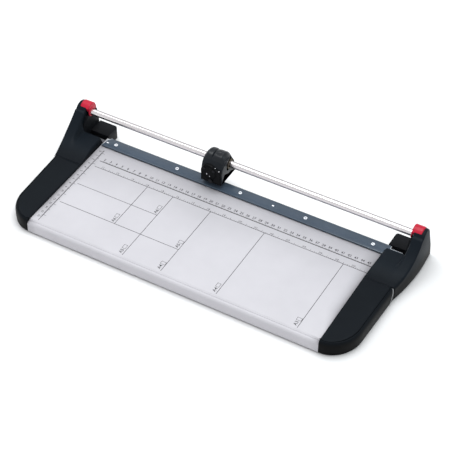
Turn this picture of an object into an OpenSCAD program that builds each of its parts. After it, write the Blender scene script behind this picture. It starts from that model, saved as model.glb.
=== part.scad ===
// Rotary paper trimmer: a sheet table between two end housings, a round
// rail behind the cutting edge, and a head whose disc blade runs against
// a straight steel counter blade. Lengths are millimetres, +Z is up, and
// the origin lies on the desk under the middle of the whole object.
// Inside the modules, y = 0 is the cutting edge and negative y is the
// side where the paper lies; cut_frame() moves that to the final place.

/* [Table] */
// Cutting length, from one housing to the other
table_len = 460; // [300:1:700]
// Distance from the cutting edge to the front of the rounded lip
table_depth = 208.6; // [150:0.1:400]
// Height of the table top above the desk
table_h = 20; // [16:0.5:40]
// Thickness of the table sheet
sheet_t = 2; // [1:0.1:3]
// Radius of the rolled front lip
lip_r = 5; // [3:0.5:8]

/* [Rail] */
// Outer radius of the rail tube
rail_r = 5; // [3.5:0.1:8]
// Wall thickness of the rail tube
rail_wall = 1.2; // [0.6:0.1:2]
// Distance of the rail axis behind the cutting edge
rail_y = 9.5; // [8:0.5:14]
// Height of the rail axis above the table top
rail_up = 32; // [28:0.5:50]

/* [Housings] */
// Width of a housing at the seam between its two covers
seam_w = 45.5; // [42:0.5:60]
// Width of a housing beside the front corner
front_w = 42.5; // [36:0.5:60]
// Widest place of the rear flank
flank_w = 54; // [50:0.5:70]
// Width of a housing at its rear end
rear_w = 52; // [50:0.5:70]
// Length of the rounded front corner
corner_len = 48; // [20:1:60]
// Distance of the cover seam in front of the cutting edge
seam_y = 73; // [60:1:100]
// Distance of the rear end behind the cutting edge
rear_reach = 35; // [30:1:50]
// Height of the front cover above the table top
cover_up = 4; // [3:0.5:10]
// Height of the rear deck above the table top
deck_up = 8.6; // [6:0.2:8.8]
// Distance of the rear deck's end in front of the cutting edge
deck_end = 12.4; // [12.2:0.1:13]
// Wall thickness of the covers
cover_wall = 2.2; // [1.5:0.1:3]
// Inner side of the rail post, measured from the table's end
post_in = 32; // [28:0.5:36]
// Width of the rail post and of the cap on it
post_w = 15.5; // [12:0.5:16]
// Height of the tower above the rail axis
tower_up = 12.5; // [11:0.5:16]
// Gap between the covers and the desk
skirt_gap = 0.8; // [0.4:0.1:2]

/* [Paper clamp] */
// Depth of the clear strip
strip_d = 19.5; // [17:0.5:24]
// Thickness of the strip
strip_t = 2; // [1:0.1:3]
// Gap for paper under the lifted strip
strip_gap = 1; // [0.5:0.1:2]
// Radius of the guide pins
pin_r = 1.5; // [1:0.1:2]
// Number of guide pins
pin_n = 5; // [2:1:8]
// Distance of the first pin from the table's left end
pin_first = 21.6; // [15:0.1:60]
// Distance of the last pin from the table's right end
pin_last = 16.9; // [15:0.1:60]

/* [Cutting head] */
// Width of the head along the rail
head_w = 34; // [33:1:60]
// Place of the head along the rail, measured from the middle
head_at = -42; // [-180:1:180]
// Distance of the head's face in front of the cutting edge
head_front = 16; // [15:0.5:20]
// Distance of the head's back behind the cutting edge
head_back = 26; // [25:0.5:30]
// Radius of the disc blade
blade_r = 15; // [12:0.5:15]
// Thickness of the disc blade
blade_t = 0.6; // [0.3:0.1:1]
// How far the disc blade reaches below the table top
blade_dip = 2; // [1:0.1:3]
// Radius of the pressure rollers
roller_r = 4; // [3:0.1:4.5]
// Radius of the blade's axle
axle_r = 2; // [1.5:0.1:2.5]

/* [Fits] */
// Radial clearance of a running fit
run_fit = 0.05; // [0.02:0.01:0.1]
// Gap between pieces that slide past each other
slide_gap = 0.3; // [0.2:0.1:0.6]
// Gap between fixed pieces that only meet
seat_gap = 0.05; // [0:0.01:0.2]

/* [Hidden] */

$fn = 48;
eps = 0.01;
half_len = table_len / 2;
// Shift that puts the object's middle at y = 0
y_shift = (table_depth - rear_reach) / 2;
rail_z = table_h + rail_up;
cover_z = table_h + cover_up;
deck_z = table_h + deck_up;
tower_z = rail_z + tower_up;

// Housing: places measured outward from the table's end (w) and in y
corner_y = corner_len - table_depth;
plate_z = 1;                          // underside of a base plate
plate_t = 2;                          // thickness of a base plate
plate_top = plate_z + plate_t;
shelf_front = 4;                      // front of the rear shelf foot
shelf_in = 1;                         // inner end of the rear shelf foot
post_out = post_in + post_w;
flank_in = post_out + seat_gap;
cap_z = rail_z - 3;                   // joint between post and red cap
flank_peak = -19;                     // where the flank is widest
round_y = 10;                         // middle of the tower's rounded top
round_r = 13;                         // radius of that top
notch_gap = 0.8;                      // room round the strip's tongue

// Screws: shank radius, head radius, head height
screw_r = 1.6;
screw_head_r = 3;
screw_head_h = 1;
boss_r = 4;

// Beams under the table
beam_wall = 2;
beam_in = 18;                         // reach of a beam into a housing
beam_top = table_h - sheet_t;
beam_h = beam_top - plate_top - seat_gap;
rear_beam_y = -22;
rear_beam_d = 19;
front_beam_y = -table_depth + 18;
front_beam_d = 16;

// Counter blade
counter_t = 2.5;
counter_h = 14;
counter_screw_z = table_h - 9;
counter_screw_n = 6;

// Clamp
strip_z = table_h + strip_gap;
strip_left = -half_len + 5;
strip_right = half_len + 7;
tongue_right = half_len + 27;
tongue_back = -6;
strip_bevel = 7;
pin_y = -strip_d / 2;
pin_pitch = (table_len - pin_first - pin_last) / (pin_n - 1);
pin_head_r = 2.8;
pin_head_t = 0.7;
spring_hole_r = 3.2;

// Head
head_z = deck_z + 0.6;                // underside of the head
crown_y = 3;                          // middle of the crown's arc
crown_z = rail_z + 2;
crown_r = 17.5;
blade_z = table_h - blade_dip + blade_r;
blade_y = 0.2;                        // front face of the disc blade
bush_wall = 2.5;
bush_len = 10;
bush_r = rail_r + run_fit + bush_wall;
hub_r = 5.5;
hub_len = 5;
hub_front = 2;
hub_spigot_r = 3;
chamber_front = -hub_front - 0.4;
roller_w = 3.6;
roller_back = -2.4;
roller_z = strip_z + strip_t + slide_gap + roller_r;
roller_x = 10;
roller_axle_r = 1.2;
lug_front = -11.8;
spring_y = blade_y + blade_t + hub_len + 0.6;
spring_len = 5;
cover_disc_r = 13;
cover_disc_z = rail_z - 5;
cover_disc_x = -3;
cover_t = 2;

// ---------------------------------------------------------------- helpers

// Moves a piece from the cutting-edge frame to its final place
module cut_frame() translate([0, y_shift, 0]) children();

// One housing side: 1 is the right end, -1 the left end, and children are
// drawn with x measured outward from the table's end
module side(s) cut_frame() mirror([s < 0 ? 1 : 0, 0, 0])
    translate([half_len, 0, 0]) children();

// The cutting head's own frame, x = 0 at the head's middle
module head_frame() cut_frame() translate([head_at, 0, 0]) children();

// Cylinder along x from x0 to x1, at height z and depth y
module bar_x(r, x0, x1, y, z) translate([x0, y, z]) rotate([0, 90, 0])
    cylinder(r = r, h = x1 - x0);

// Cylinder along y from y0 to y1, at x and z
module bar_y(r, y0, y1, x, z) translate([x, y0, z]) rotate([-90, 0, 0])
    cylinder(r = r, h = y1 - y0);

// Extrudes a (y, z) profile along x from x0 to x1
module along_x(x0, x1) translate([x0, 0, 0]) rotate([90, 0, 90])
    linear_extrude(x1 - x0) children();

// Points of an arc
function arc(c, r, a0, a1, n) =
    [for (i = [0 : n]) let (a = a0 + (a1 - a0) * i / n)
        [c[0] + r * cos(a), c[1] + r * sin(a)]];

// Points of a cubic curve with end points a, d and handles b, c
function curve(a, b, c, d, n) =
    [for (i = [0 : n]) let (t = i / n, u = 1 - t)
        u * u * u * a + 3 * u * u * t * b + 3 * u * t * t * c + t * t * t * d];

// Width of the rear flank at depth y: a parabola through three widths
function flank(y) =
    let (a = -seam_y, b = flank_peak, c = rear_reach)
    seam_w * (y - b) * (y - c) / ((a - b) * (a - c))
    + flank_w * (y - a) * (y - c) / ((b - a) * (b - c))
    + rear_w * (y - a) * (y - b) / ((c - a) * (c - b));

// Overrun of a drawn-in plan at the cover seam
function past_seam(i) = i > 0 ? 1 : 0;

// Round wire swept along a helix about z
module coil(r, wire, turns, height, sides = 6, steps = 12) {
    n = turns * steps;
    pts = [for (i = [0 : n], j = [0 : sides - 1])
        let (a = 360 * i / steps, b = 360 * j / sides, q = r + wire * cos(b))
        [q * cos(a), q * sin(a), wire + (height - 2 * wire) * i / n + wire * sin(b)]];
    walls = [for (i = [0 : n - 1], j = [0 : sides - 1])
        let (k = (j + 1) % sides, p = i * sides, q = p + sides)
        [p + j, q + j, q + k, p + k]];
    ends = [[for (j = [0 : sides - 1]) j],
            [for (j = [sides - 1 : -1 : 0]) n * sides + j]];
    polyhedron(pts, concat(walls, ends));
}

// ---------------------------------------------------------------- table

function pin_x(i) = -half_len + pin_first + i * pin_pitch;

module table_board() color("gainsboro") cut_frame() difference() {
    f = -table_depth;
    along_x(-half_len, half_len) polygon(concat(
        [[-counter_t - seat_gap, table_h], [f + lip_r + 3, table_h],
         [f + lip_r + 2.4, table_h - 0.5], [f + lip_r + 1, table_h - 0.5],
         [f + lip_r + 0.4, table_h]],
        arc([f + lip_r, table_h - lip_r], lip_r, 90, 180, 8),
        [[f, plate_top], [f + sheet_t, plate_top]],
        arc([f + lip_r, table_h - lip_r], lip_r - sheet_t, 180, 90, 8),
        [[-counter_t - seat_gap, beam_top]]));
    for (i = [0 : pin_n - 1]) translate([pin_x(i), pin_y, beam_top - eps])
        cylinder(r = spring_hole_r, h = sheet_t + 1);
}

// Rectangular tube along x under the table
module beam(y, d) difference() {
    along_x(-half_len - beam_in, half_len + beam_in)
        translate([y, plate_top + seat_gap]) square([d, beam_h - seat_gap]);
    along_x(-half_len - beam_in - 1, half_len + beam_in + 1)
        translate([y + beam_wall, plate_top + seat_gap + beam_wall])
            square([d - 2 * beam_wall, beam_h - seat_gap - 2 * beam_wall]);
    beam_bolt_places(y + d / 2) translate([0, 0, plate_z - 1])
        cylinder(r = screw_r, h = 2 * beam_wall + plate_t + 1);
}

// Places of the bolts that hold a beam to the two base plates
module beam_bolt_places(y) for (s = [-1, 1])
    translate([s * (half_len + beam_in / 2), y, 0]) children();

module front_beam() color("slategray") cut_frame() beam(front_beam_y, front_beam_d);

module rear_beam() color("slategray") cut_frame() difference() {
    beam(rear_beam_y, rear_beam_d);
    for (i = [0 : pin_n - 1]) translate([pin_x(i), pin_y, beam_top - beam_wall - 1])
        cylinder(r = pin_r, h = beam_wall + 2);
    for (i = [0 : counter_screw_n - 1])
        bar_y(screw_r, -10, 0, counter_screw_x(i), counter_screw_z);
}

module beam_bolts() color("silver") cut_frame()
    for (y = [front_beam_y + front_beam_d / 2, rear_beam_y + rear_beam_d / 2])
        beam_bolt_places(y) {
            translate([0, 0, plate_z]) cylinder(r = screw_head_r, h = screw_head_h);
            translate([0, 0, plate_z]) cylinder(r = screw_r, h = plate_t + beam_wall);
        }

// ---------------------------------------------------------------- blades

function counter_screw_x(i) =
    -half_len + table_len * (i + 0.5) / counter_screw_n;

module counter_blade() color("lightsteelblue") cut_frame() difference() {
    translate([-half_len, -counter_t, table_h - counter_h])
        cube([table_len, counter_t, counter_h]);
    for (i = [0 : counter_screw_n - 1]) {
        bar_y(screw_r, -counter_t - 1, 1, counter_screw_x(i), counter_screw_z);
        bar_y(screw_head_r, -screw_head_h, 1, counter_screw_x(i), counter_screw_z);
    }
}

module counter_blade_screws() color("dimgray") cut_frame()
    for (i = [0 : counter_screw_n - 1]) difference() {
        union() {
            bar_y(screw_r, -8, -screw_head_h / 2, counter_screw_x(i), counter_screw_z);
            bar_y(screw_head_r, -screw_head_h, -0.1, counter_screw_x(i), counter_screw_z);
        }
        translate([counter_screw_x(i), 0, counter_screw_z])
            cube([4, 1, 0.8], center = true);
    }

// ---------------------------------------------------------------- clamp

module clamp_strip() color("slategray", 0.8) cut_frame()
    translate([0, 0, strip_z]) difference() {
        linear_extrude(strip_t) polygon([
            [strip_left - 3, -strip_d], [strip_left, -strip_bevel],
            [strip_left + strip_bevel, 0],
            [strip_right, 0], [strip_right, tongue_back],
            [tongue_right, tongue_back], [tongue_right, -strip_d]]);
        for (i = [0 : pin_n - 1]) translate([pin_x(i), pin_y, -1])
            cylinder(r = pin_r + slide_gap, h = strip_t + 2);
    }

module clamp_guide_pins() color("whitesmoke") cut_frame()
    for (i = [0 : pin_n - 1]) translate([pin_x(i), pin_y, 0]) difference() {
        top = strip_z + strip_t + 0.1;
        union() {
            translate([0, 0, beam_top - beam_wall])
                cylinder(r = pin_r, h = top - beam_top + beam_wall + eps);
            translate([0, 0, top]) cylinder(r = pin_head_r, h = pin_head_t);
        }
        translate([0, 0, top + pin_head_t / 2]) cylinder(r = 1.2, h = 1);
    }

module clamp_springs() color("silver") cut_frame()
    for (i = [0 : pin_n - 1]) translate([pin_x(i), pin_y, beam_top])
        coil(r = 2.45, wire = 0.3, turns = 3, height = strip_z - beam_top);

// ---------------------------------------------------------------- rail

module rail_tube() color("white") cut_frame() difference() {
    reach = half_len + post_out - 2;
    bar_x(rail_r, -reach, reach, rail_y, rail_z);
    bar_x(rail_r - rail_wall, -reach - 1, reach + 1, rail_y, rail_z);
}

// ---------------------------------------------------------------- housings

// Plan of the front section, drawn in by i on its outer sides. A drawn-in
// plan runs past the seam, so that the covers are open to each other.
module front_plan(i, w0) polygon(concat(
    [[w0, -table_depth + i]],
    [for (a = [-90 : 7.5 : 0]) [max(w0, (front_w - i) * cos(a)),
                                corner_y + (corner_len - i) * sin(a)]],
    [[seam_w - i, past_seam(i) - seam_y], [w0, past_seam(i) - seam_y]]));

// Plan of the rear section up to depth y1 and width w_max, drawn in by i
module rear_plan(i, w0, y1, w_max = 200) polygon(concat(
    [[w0, -seam_y - past_seam(i)]],
    [for (k = [0 : 12]) let (y = -seam_y + (y1 + seam_y) * k / 12)
        [min(w_max, max(w0 + eps, flank(y) - i)), k == 0 ? y - past_seam(i) : y]],
    [[w0, y1]]));

// Screw places of one housing: w and y
cover_screw_places = [[30, corner_y + 8], [30, -seam_y - 20],
                      [34, -seam_y + 12], [34, -deck_end - 10]];

// Bosses inside a cover for the screws at the given places, up to z1
module bosses(places, z1) for (p = places)
    translate([p[0], p[1], plate_top + seat_gap])
        cylinder(r = boss_r, h = z1 - plate_top - seat_gap);

module boss_holes(places) for (p = places)
    translate([p[0], p[1], 0]) cylinder(r = screw_r, h = 14);

module front_cover(s) side(s) difference() {
    union() {
        difference() {
            translate([0, 0, skirt_gap]) linear_extrude(cover_z - skirt_gap)
                front_plan(0, 0);
            translate([0, 0, -1]) linear_extrude(table_h + slide_gap + 1)
                front_plan(cover_wall, -1);
            translate([0, 0, table_h]) linear_extrude(cover_up - cover_wall)
                front_plan(cover_wall, cover_wall);
        }
        bosses([cover_screw_places[0], cover_screw_places[1]],
               cover_z - cover_wall + eps);
    }
    boss_holes([cover_screw_places[0], cover_screw_places[1]]);
}

module left_front_cover() color("#20252e") front_cover(-1);
module right_front_cover() color("#20252e") front_cover(1);

// Side outline of the tower: a hollow sweep up from the seam, a round top
// and a slanted back
tower_side = concat(
    [[-seam_y, skirt_gap]],
    curve([-seam_y, cover_z], [-seam_y + 28, cover_z],
          [-18, rail_z - 10], [-5, rail_z + 5], 12),
    arc([round_y, tower_z - round_r], round_r, 152, 5, 10),
    [[28, table_h + 15], [rear_reach, skirt_gap]]);

// Side outline of the deck
function deck_side(drop) = concat(
    [[-seam_y - past_seam(drop), -1],
     [-seam_y - past_seam(drop), cover_z - drop]],
    curve([-seam_y, cover_z - drop], [-seam_y + 24, cover_z + 1 - drop],
          [-deck_end - 20, deck_z - 1 - drop], [-deck_end, deck_z - drop], 8),
    [[-deck_end, -1]]);

module rear_cover(s) side(s) difference() {
    union() {
        difference() {
            intersection() {
                translate([0, 0, skirt_gap]) linear_extrude(deck_z)
                    rear_plan(0, 0, -deck_end);
                along_x(-1, flank_w + 1) polygon(deck_side(0));
            }
            translate([0, 0, -1]) linear_extrude(table_h + slide_gap + 1)
                rear_plan(cover_wall, -1, -deck_end + 1);
            intersection() {
                translate([0, 0, table_h]) linear_extrude(deck_z)
                    rear_plan(cover_wall, cover_wall, -deck_end - cover_wall);
                along_x(-2, flank_w) polygon(deck_side(cover_wall));
            }
        }
        intersection() {
            linear_extrude(tower_z + 5) rear_plan(0, flank_in, rear_reach);
            along_x(0, flank_w + 1) polygon(tower_side);
        }
        along_x(post_in + 0.1, flank_in + eps) polygon([
            [rear_reach - 2.5, skirt_gap], [rear_reach, skirt_gap],
            [29, rail_z - 22], [26.5, rail_z - 22]]);
        intersection() {
            bosses([cover_screw_places[2], cover_screw_places[3]], deck_z);
            along_x(0, flank_w) polygon(deck_side(cover_wall / 2));
        }
    }
    boss_holes([cover_screw_places[2], cover_screw_places[3]]);
    if (s > 0) translate([-1, -strip_d - notch_gap, 0])
        cube([tongue_right - half_len + 1 + notch_gap, strip_d + 1,
              strip_z + strip_t + notch_gap]);
}

module left_rear_cover() color("#232b33") rear_cover(-1);
module right_rear_cover() color("#232b33") rear_cover(1);

// Post that carries the rail's end, with the shelf foot beside it
module end_bracket(s) side(s) difference() {
    union() {
        along_x(post_in, post_out) polygon([
            [-deck_end + seat_gap, plate_top + seat_gap],
            [-deck_end + seat_gap, deck_z + 1],
            [-9, deck_z + 10], [-5, cap_z - 6], [-3, cap_z], [23, cap_z],
            [26, rail_z - 22], [rear_reach - 6, plate_top + seat_gap]]);
        translate([0, 0, skirt_gap]) linear_extrude(table_h + 0.5 - skirt_gap)
            polygon(concat([[post_in + eps, shelf_front], [post_in + eps, 30]],
                arc([shelf_in + 4, 26], 4, 90, 180, 6),
                [[shelf_in, shelf_front]]));
    }
    bar_x(rail_r + seat_gap, post_in - 1, post_out + 1, rail_y, rail_z);
    translate([post_in + post_w / 2, 19, cap_z - 8]) cylinder(r = screw_r, h = 9);
}

module left_end_bracket() color("#15181d") end_bracket(-1);
module right_end_bracket() color("#15181d") end_bracket(1);

// Cap over the rail's end, closing the top of the post
module rail_cap(s) side(s) difference() {
    along_x(post_in - 0.3, post_out) polygon(concat(
        [[-3.5, cap_z + seat_gap]],
        arc([5, tower_z - 8.5], 8, 165, 90, 6),
        arc([round_y + 5, tower_z - 8.5], 8, 90, 0, 6),
        [[23, cap_z + seat_gap]]));
    bar_x(rail_r + seat_gap, post_in - 1, post_out - 1.5, rail_y, rail_z);
    translate([post_in + post_w / 2, 19, cap_z]) cylinder(r = screw_r, h = 6);
}

module left_rail_cap() color("crimson") rail_cap(-1);
module right_rail_cap() color("crimson") rail_cap(1);

module cap_screw(s) side(s)
    translate([post_in + post_w / 2, 19, cap_z - 7.5]) cylinder(r = screw_r, h = 13);

module left_cap_screw() color("silver") cap_screw(-1);
module right_cap_screw() color("silver") cap_screw(1);

// Feet places of one housing: w and y
foot_places = [[16, corner_y - 14], [20, -seam_y], [24, -deck_end - 14]];

module base_plate(s) side(s) difference() {
    inset = cover_wall + slide_gap;
    translate([0, 0, plate_z]) linear_extrude(plate_t) union() {
        front_plan(inset, 0.5);
        translate([0.5, -seam_y - 1]) square([seam_w - inset - 1, 2]);
        rear_plan(inset, 0.5, -deck_end - cover_wall, post_out);
        translate([post_in + 0.1, -deck_end - cover_wall - 1])
            square([post_w - 0.1, deck_end + cover_wall + rear_reach - 6]);
    }
    for (p = cover_screw_places) translate([p[0], p[1], 0]) {
        cylinder(r = screw_r, h = 5);
        cylinder(r = screw_head_r, h = plate_z + screw_head_h);
    }
    for (p = foot_places) translate([p[0], p[1], 0]) cylinder(r = 3, h = 5);
    for (y = [front_beam_y + front_beam_d / 2, rear_beam_y + rear_beam_d / 2])
        translate([beam_in / 2, y, 0]) {
            cylinder(r = screw_r, h = 5);
            cylinder(r = screw_head_r, h = plate_z + screw_head_h);
        }
}

module left_base_plate() color("dimgray") base_plate(-1);
module right_base_plate() color("dimgray") base_plate(1);

module cover_screws(s) side(s) for (p = cover_screw_places)
    translate([p[0], p[1], plate_z]) difference() {
        union() {
            cylinder(r = screw_head_r, h = screw_head_h);
            cylinder(r = screw_r, h = 11);
        }
        cube([4, 0.8, 0.8], center = true);
        cube([0.8, 4, 0.8], center = true);
    }

module left_cover_screws() color("silver") cover_screws(-1);
module right_cover_screws() color("silver") cover_screws(1);

// Rubber foot: a domed pad with a plug through the base plate
module feet(s) side(s) for (p = foot_places) translate([p[0], p[1], 0]) {
    cylinder(r1 = 6.4, r2 = 7, h = plate_z);
    cylinder(r = 3, h = plate_top);
}

module left_feet() color("#2b2b2b") feet(-1);
module right_feet() color("#2b2b2b") feet(1);

// ---------------------------------------------------------------- head

module head_body() color("#14181d") head_frame() difference() {
    union() {
        along_x(-head_w / 2, head_w / 2) polygon(concat(
            [[-head_front, head_z], [-head_front, crown_z - 6]],
            arc([crown_y, crown_z], crown_r, 180, 0, 18),
            [[head_back - 1, rail_z - 12], [head_back, head_z + 6],
             [head_back, head_z]]));
        for (s = [-1, 1]) translate([s * roller_x - 3.2, lug_front, roller_z - 2.2])
            cube([6.4, roller_back - roller_w - slide_gap - lug_front,
                  head_z - roller_z + 2.2 + eps]);
    }
    // Bore for the bushes
    bar_x(bush_r, -head_w, head_w, rail_y, rail_z);
    // Chamber of the disc blade, open below
    bar_y(blade_r + 0.6, chamber_front, blade_y + blade_t + 0.6, 0, blade_z);
    translate([-blade_r - 0.6, chamber_front, head_z - 1])
        cube([2 * blade_r + 1.2, blade_y + blade_t + 0.6 - chamber_front,
              blade_z - head_z + 1]);
    // Room for the hub and its spring, and the axle's thread
    bar_y(hub_r + 0.6, 0, spring_y + spring_len, 0, blade_z);
    bar_y(axle_r, -head_front - 1, spring_y + spring_len + 8, 0, blade_z);
    // Pockets of the pressure rollers and the holes of their axles
    for (s = [-1, 1]) {
        translate([s * roller_x - roller_r - 0.6,
                   roller_back - roller_w - slide_gap, head_z - 1])
            cube([2 * roller_r + 1.2, roller_w + slide_gap + 2,
                  roller_z + roller_r + 1.6 - head_z]);
        bar_y(roller_axle_r, lug_front - 1, 0, s * roller_x, roller_z);
        bar_y(screw_r, -head_front - 1, -head_front + 6,
              cover_disc_x + s * 8, cover_disc_z + 6);
    }
}

module head_bushes() color("burlywood") head_frame()
    for (s = [-1, 1]) difference() {
        x0 = s * head_w / 2 - (s > 0 ? bush_len : 0);
        bar_x(bush_r, x0, x0 + bush_len, rail_y, rail_z);
        bar_x(rail_r + run_fit, x0 - 1, x0 + bush_len + 1, rail_y, rail_z);
    }

// Rubber pad that follows the crown
module head_grip() color("#30363e") head_frame() difference() {
    along_x(-4, head_w / 2 - 3) polygon(concat(
        arc([crown_y, crown_z], crown_r + 1.4, 120, 60, 6),
        arc([crown_y, crown_z], crown_r, 60, 120, 6)));
    for (x = [-1 : 3 : 12]) along_x(x, x + 1) difference() {
        translate([crown_y, crown_z]) circle(r = crown_r + 3);
        translate([crown_y, crown_z]) circle(r = crown_r + 0.8);
    }
}

// Round blade cover on the head's face, with a foot over the axle's head
module blade_cover() color("#101318") head_frame() difference() {
    union() {
        bar_y(cover_disc_r, -head_front - cover_t, -head_front,
              cover_disc_x, cover_disc_z);
        translate([-8, -head_front - cover_t, head_z + 0.3])
            cube([16, cover_t, cover_disc_z - head_z]);
    }
    bar_y(axle_r + 0.1, -head_front - 3, -head_front + 1, 0, blade_z);
    for (s = [-1, 1]) bar_y(screw_r, -head_front - 3, -head_front + 1,
                            cover_disc_x + s * 8, cover_disc_z + 6);
}

module blade_cover_screws() color("silver") head_frame() for (s = [-1, 1]) {
    bar_y(screw_head_r - 1, -head_front - cover_t - 0.8, -head_front - cover_t,
          cover_disc_x + s * 8, cover_disc_z + 6);
    bar_y(screw_r, -head_front - cover_t, -head_front + 5,
          cover_disc_x + s * 8, cover_disc_z + 6);
}

module blade_axle() color("silver") head_frame() {
    bar_y(axle_r, -head_front - cover_t, spring_y + spring_len + 7, 0, blade_z);
    bar_y(3.4, -head_front - cover_t - 1.2, -head_front - cover_t, 0, blade_z);
}

module blade_hub() color("lightgray") head_frame() difference() {
    union() {
        bar_y(hub_spigot_r, -hub_front, blade_y + blade_t + 1, 0, blade_z);
        bar_y(hub_r, blade_y + blade_t, blade_y + blade_t + hub_len, 0, blade_z);
        bar_y(hub_r - 1, -hub_front, blade_y, 0, blade_z);
    }
    bar_y(axle_r + run_fit, -hub_front - 1, blade_y + blade_t + hub_len + 1, 0, blade_z);
}

// Disc blade, ground to an edge on its rear side
module rotary_blade() color("silver") head_frame()
    translate([0, blade_y, blade_z]) rotate([-90, 0, 0]) difference() {
        rotate_extrude($fn = 96) polygon([
            [hub_spigot_r, 0], [blade_r, 0], [blade_r - 0.2, 0.15],
            [blade_r - 1.6, blade_t], [hub_spigot_r, blade_t]]);
        for (a = [0 : 120 : 359]) rotate([0, 0, a]) translate([8, 0, -1])
            cylinder(r = 1, h = 3);
    }

module blade_spring() color("silver") head_frame()
    translate([0, spring_y - slide_gap + 0.2, blade_z]) rotate([-90, 0, 0])
        coil(r = 4, wire = 0.45, turns = 3, height = spring_len, sides = 8, steps = 16);

module press_roller(s) head_frame() difference() {
    bar_y(roller_r, roller_back - roller_w, roller_back, s * roller_x, roller_z);
    bar_y(roller_axle_r + run_fit, roller_back - roller_w - 1, roller_back + 1,
          s * roller_x, roller_z);
}

module left_press_roller() color("dimgray") press_roller(-1);
module right_press_roller() color("dimgray") press_roller(1);

module roller_axles() color("silver") head_frame() for (s = [-1, 1]) {
    bar_y(roller_axle_r, lug_front + 0.3, roller_back + 0.5, s * roller_x, roller_z);
    bar_y(roller_axle_r + 0.8, roller_back + 0.2, roller_back + 0.8,
          s * roller_x, roller_z);
}

table_board();
front_beam();
rear_beam();
beam_bolts();
counter_blade();
counter_blade_screws();
clamp_strip();
clamp_guide_pins();
clamp_springs();
rail_tube();
left_front_cover();
right_front_cover();
left_rear_cover();
right_rear_cover();
left_end_bracket();
right_end_bracket();
left_rail_cap();
right_rail_cap();
left_cap_screw();
right_cap_screw();
left_base_plate();
right_base_plate();
left_cover_screws();
right_cover_screws();
left_feet();
right_feet();
head_body();
head_bushes();
head_grip();
blade_cover();
blade_cover_screws();
blade_axle();
blade_hub();
rotary_blade();
blade_spring();
left_press_roller();
right_press_roller();
roller_axles();
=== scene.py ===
"""Looks of a rotary paper trimmer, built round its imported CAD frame.

Places and sizes are worked out in millimetres and become metres when a mesh is
made. The table lies between two end housings along x, the paper side is
negative y, and the desk is z = 0.
"""
import math

import bmesh
import bpy
import numpy as np
from mathutils import Matrix, Vector


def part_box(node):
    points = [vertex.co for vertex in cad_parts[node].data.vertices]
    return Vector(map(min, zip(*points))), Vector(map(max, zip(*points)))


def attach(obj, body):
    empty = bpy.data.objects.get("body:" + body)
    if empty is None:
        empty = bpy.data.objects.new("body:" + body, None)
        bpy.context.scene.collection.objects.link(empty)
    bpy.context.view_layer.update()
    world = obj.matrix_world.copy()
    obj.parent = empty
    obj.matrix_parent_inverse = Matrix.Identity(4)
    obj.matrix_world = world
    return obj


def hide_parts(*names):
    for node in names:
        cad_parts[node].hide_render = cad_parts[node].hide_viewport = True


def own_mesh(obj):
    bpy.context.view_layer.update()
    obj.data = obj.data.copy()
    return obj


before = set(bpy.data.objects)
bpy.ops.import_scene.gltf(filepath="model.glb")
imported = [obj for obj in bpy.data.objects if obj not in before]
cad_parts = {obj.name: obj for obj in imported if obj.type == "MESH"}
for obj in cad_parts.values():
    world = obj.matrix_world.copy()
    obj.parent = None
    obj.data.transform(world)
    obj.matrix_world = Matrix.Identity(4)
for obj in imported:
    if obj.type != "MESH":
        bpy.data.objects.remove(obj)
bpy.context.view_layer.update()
MM = 0.001


def corners(node):
    """Lowest and highest corner of a CAD node in millimetres."""
    lo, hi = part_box(node)
    return np.array(lo) / MM, np.array(hi) / MM


# ------------------------------------------------------------ driving places
TABLE_LO, TABLE_HI = corners("table_board")
STRIP_LO, STRIP_HI = corners("clamp_strip")
HEAD_LO, HEAD_HI = corners("head_body")
CAP_LO, CAP_HI = corners("right_rail_cap")
RAIL_LO, RAIL_HI = corners("rail_tube")
HALF = TABLE_HI[0]                    # half the cutting length
TOP = TABLE_HI[2]                     # height of the table top
CUT_Y = corners("counter_blade")[1][1]  # the cutting edge
RAIL_Y = (RAIL_LO[1] + RAIL_HI[1]) / 2
RAIL_Z = (RAIL_LO[2] + RAIL_HI[2]) / 2


# ------------------------------------------------------------ camera, lights
def aim(obj, place, target, roll=0.0):
    """Puts obj at place, looking at target, turned by roll degrees about its sight line."""
    direction = Vector(target) - Vector(place)
    turn = direction.to_track_quat("-Z", "Y").to_matrix().to_4x4()
    obj.matrix_world = (Matrix.Translation(Vector(place)) @ turn
                        @ Matrix.Rotation(math.radians(roll), 4, "Z"))


def make_camera(azimuth, elevation, distance, target, lens, roll):
    """Camera at a distance from target, azimuth from the front towards +x, both angles in
    degrees."""
    a, e = math.radians(azimuth), math.radians(elevation)
    back = Vector((math.sin(a) * math.cos(e), -math.cos(a) * math.cos(e), math.sin(e)))
    data = bpy.data.cameras.new("camera")
    data.lens = lens
    data.sensor_width = 36
    data.clip_start, data.clip_end = 0.05, 20
    camera = bpy.data.objects.new("camera", data)
    bpy.context.scene.collection.objects.link(camera)
    aim(camera, Vector(target) + back * distance, target, roll)
    bpy.context.scene.camera = camera


def soft_light(name, place, target, size, power, colour=(1, 1, 1)):
    """Rectangular area light of the given size in metres and power in watts."""
    data = bpy.data.lights.new(name, "AREA")
    data.shape = "RECTANGLE"
    data.size, data.size_y = size
    data.energy = power
    data.color = colour
    light = bpy.data.objects.new(name, data)
    bpy.context.scene.collection.objects.link(light)
    aim(light, place, target)
    return light


make_camera(29.47, 43.6, 2.1445, (0.0148, 0.0112, 0.020), 122.17, 0.28)

soft_light("overhead_softbox", (-0.1, 0.25, 2.0), (0, 0, 0), (1.5, 1.2), 26, (0.97, 0.99, 1))
soft_light("back_left_key", (-1.3, 0.5, 1.5), (0, 0, 0), (0.8, 0.8), 3)
soft_light("right_rim", (1.6, 0.9, 0.9), (0, 0, 0.03), (0.5, 0.9), 2.5, (0.7, 0.97, 1))

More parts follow.
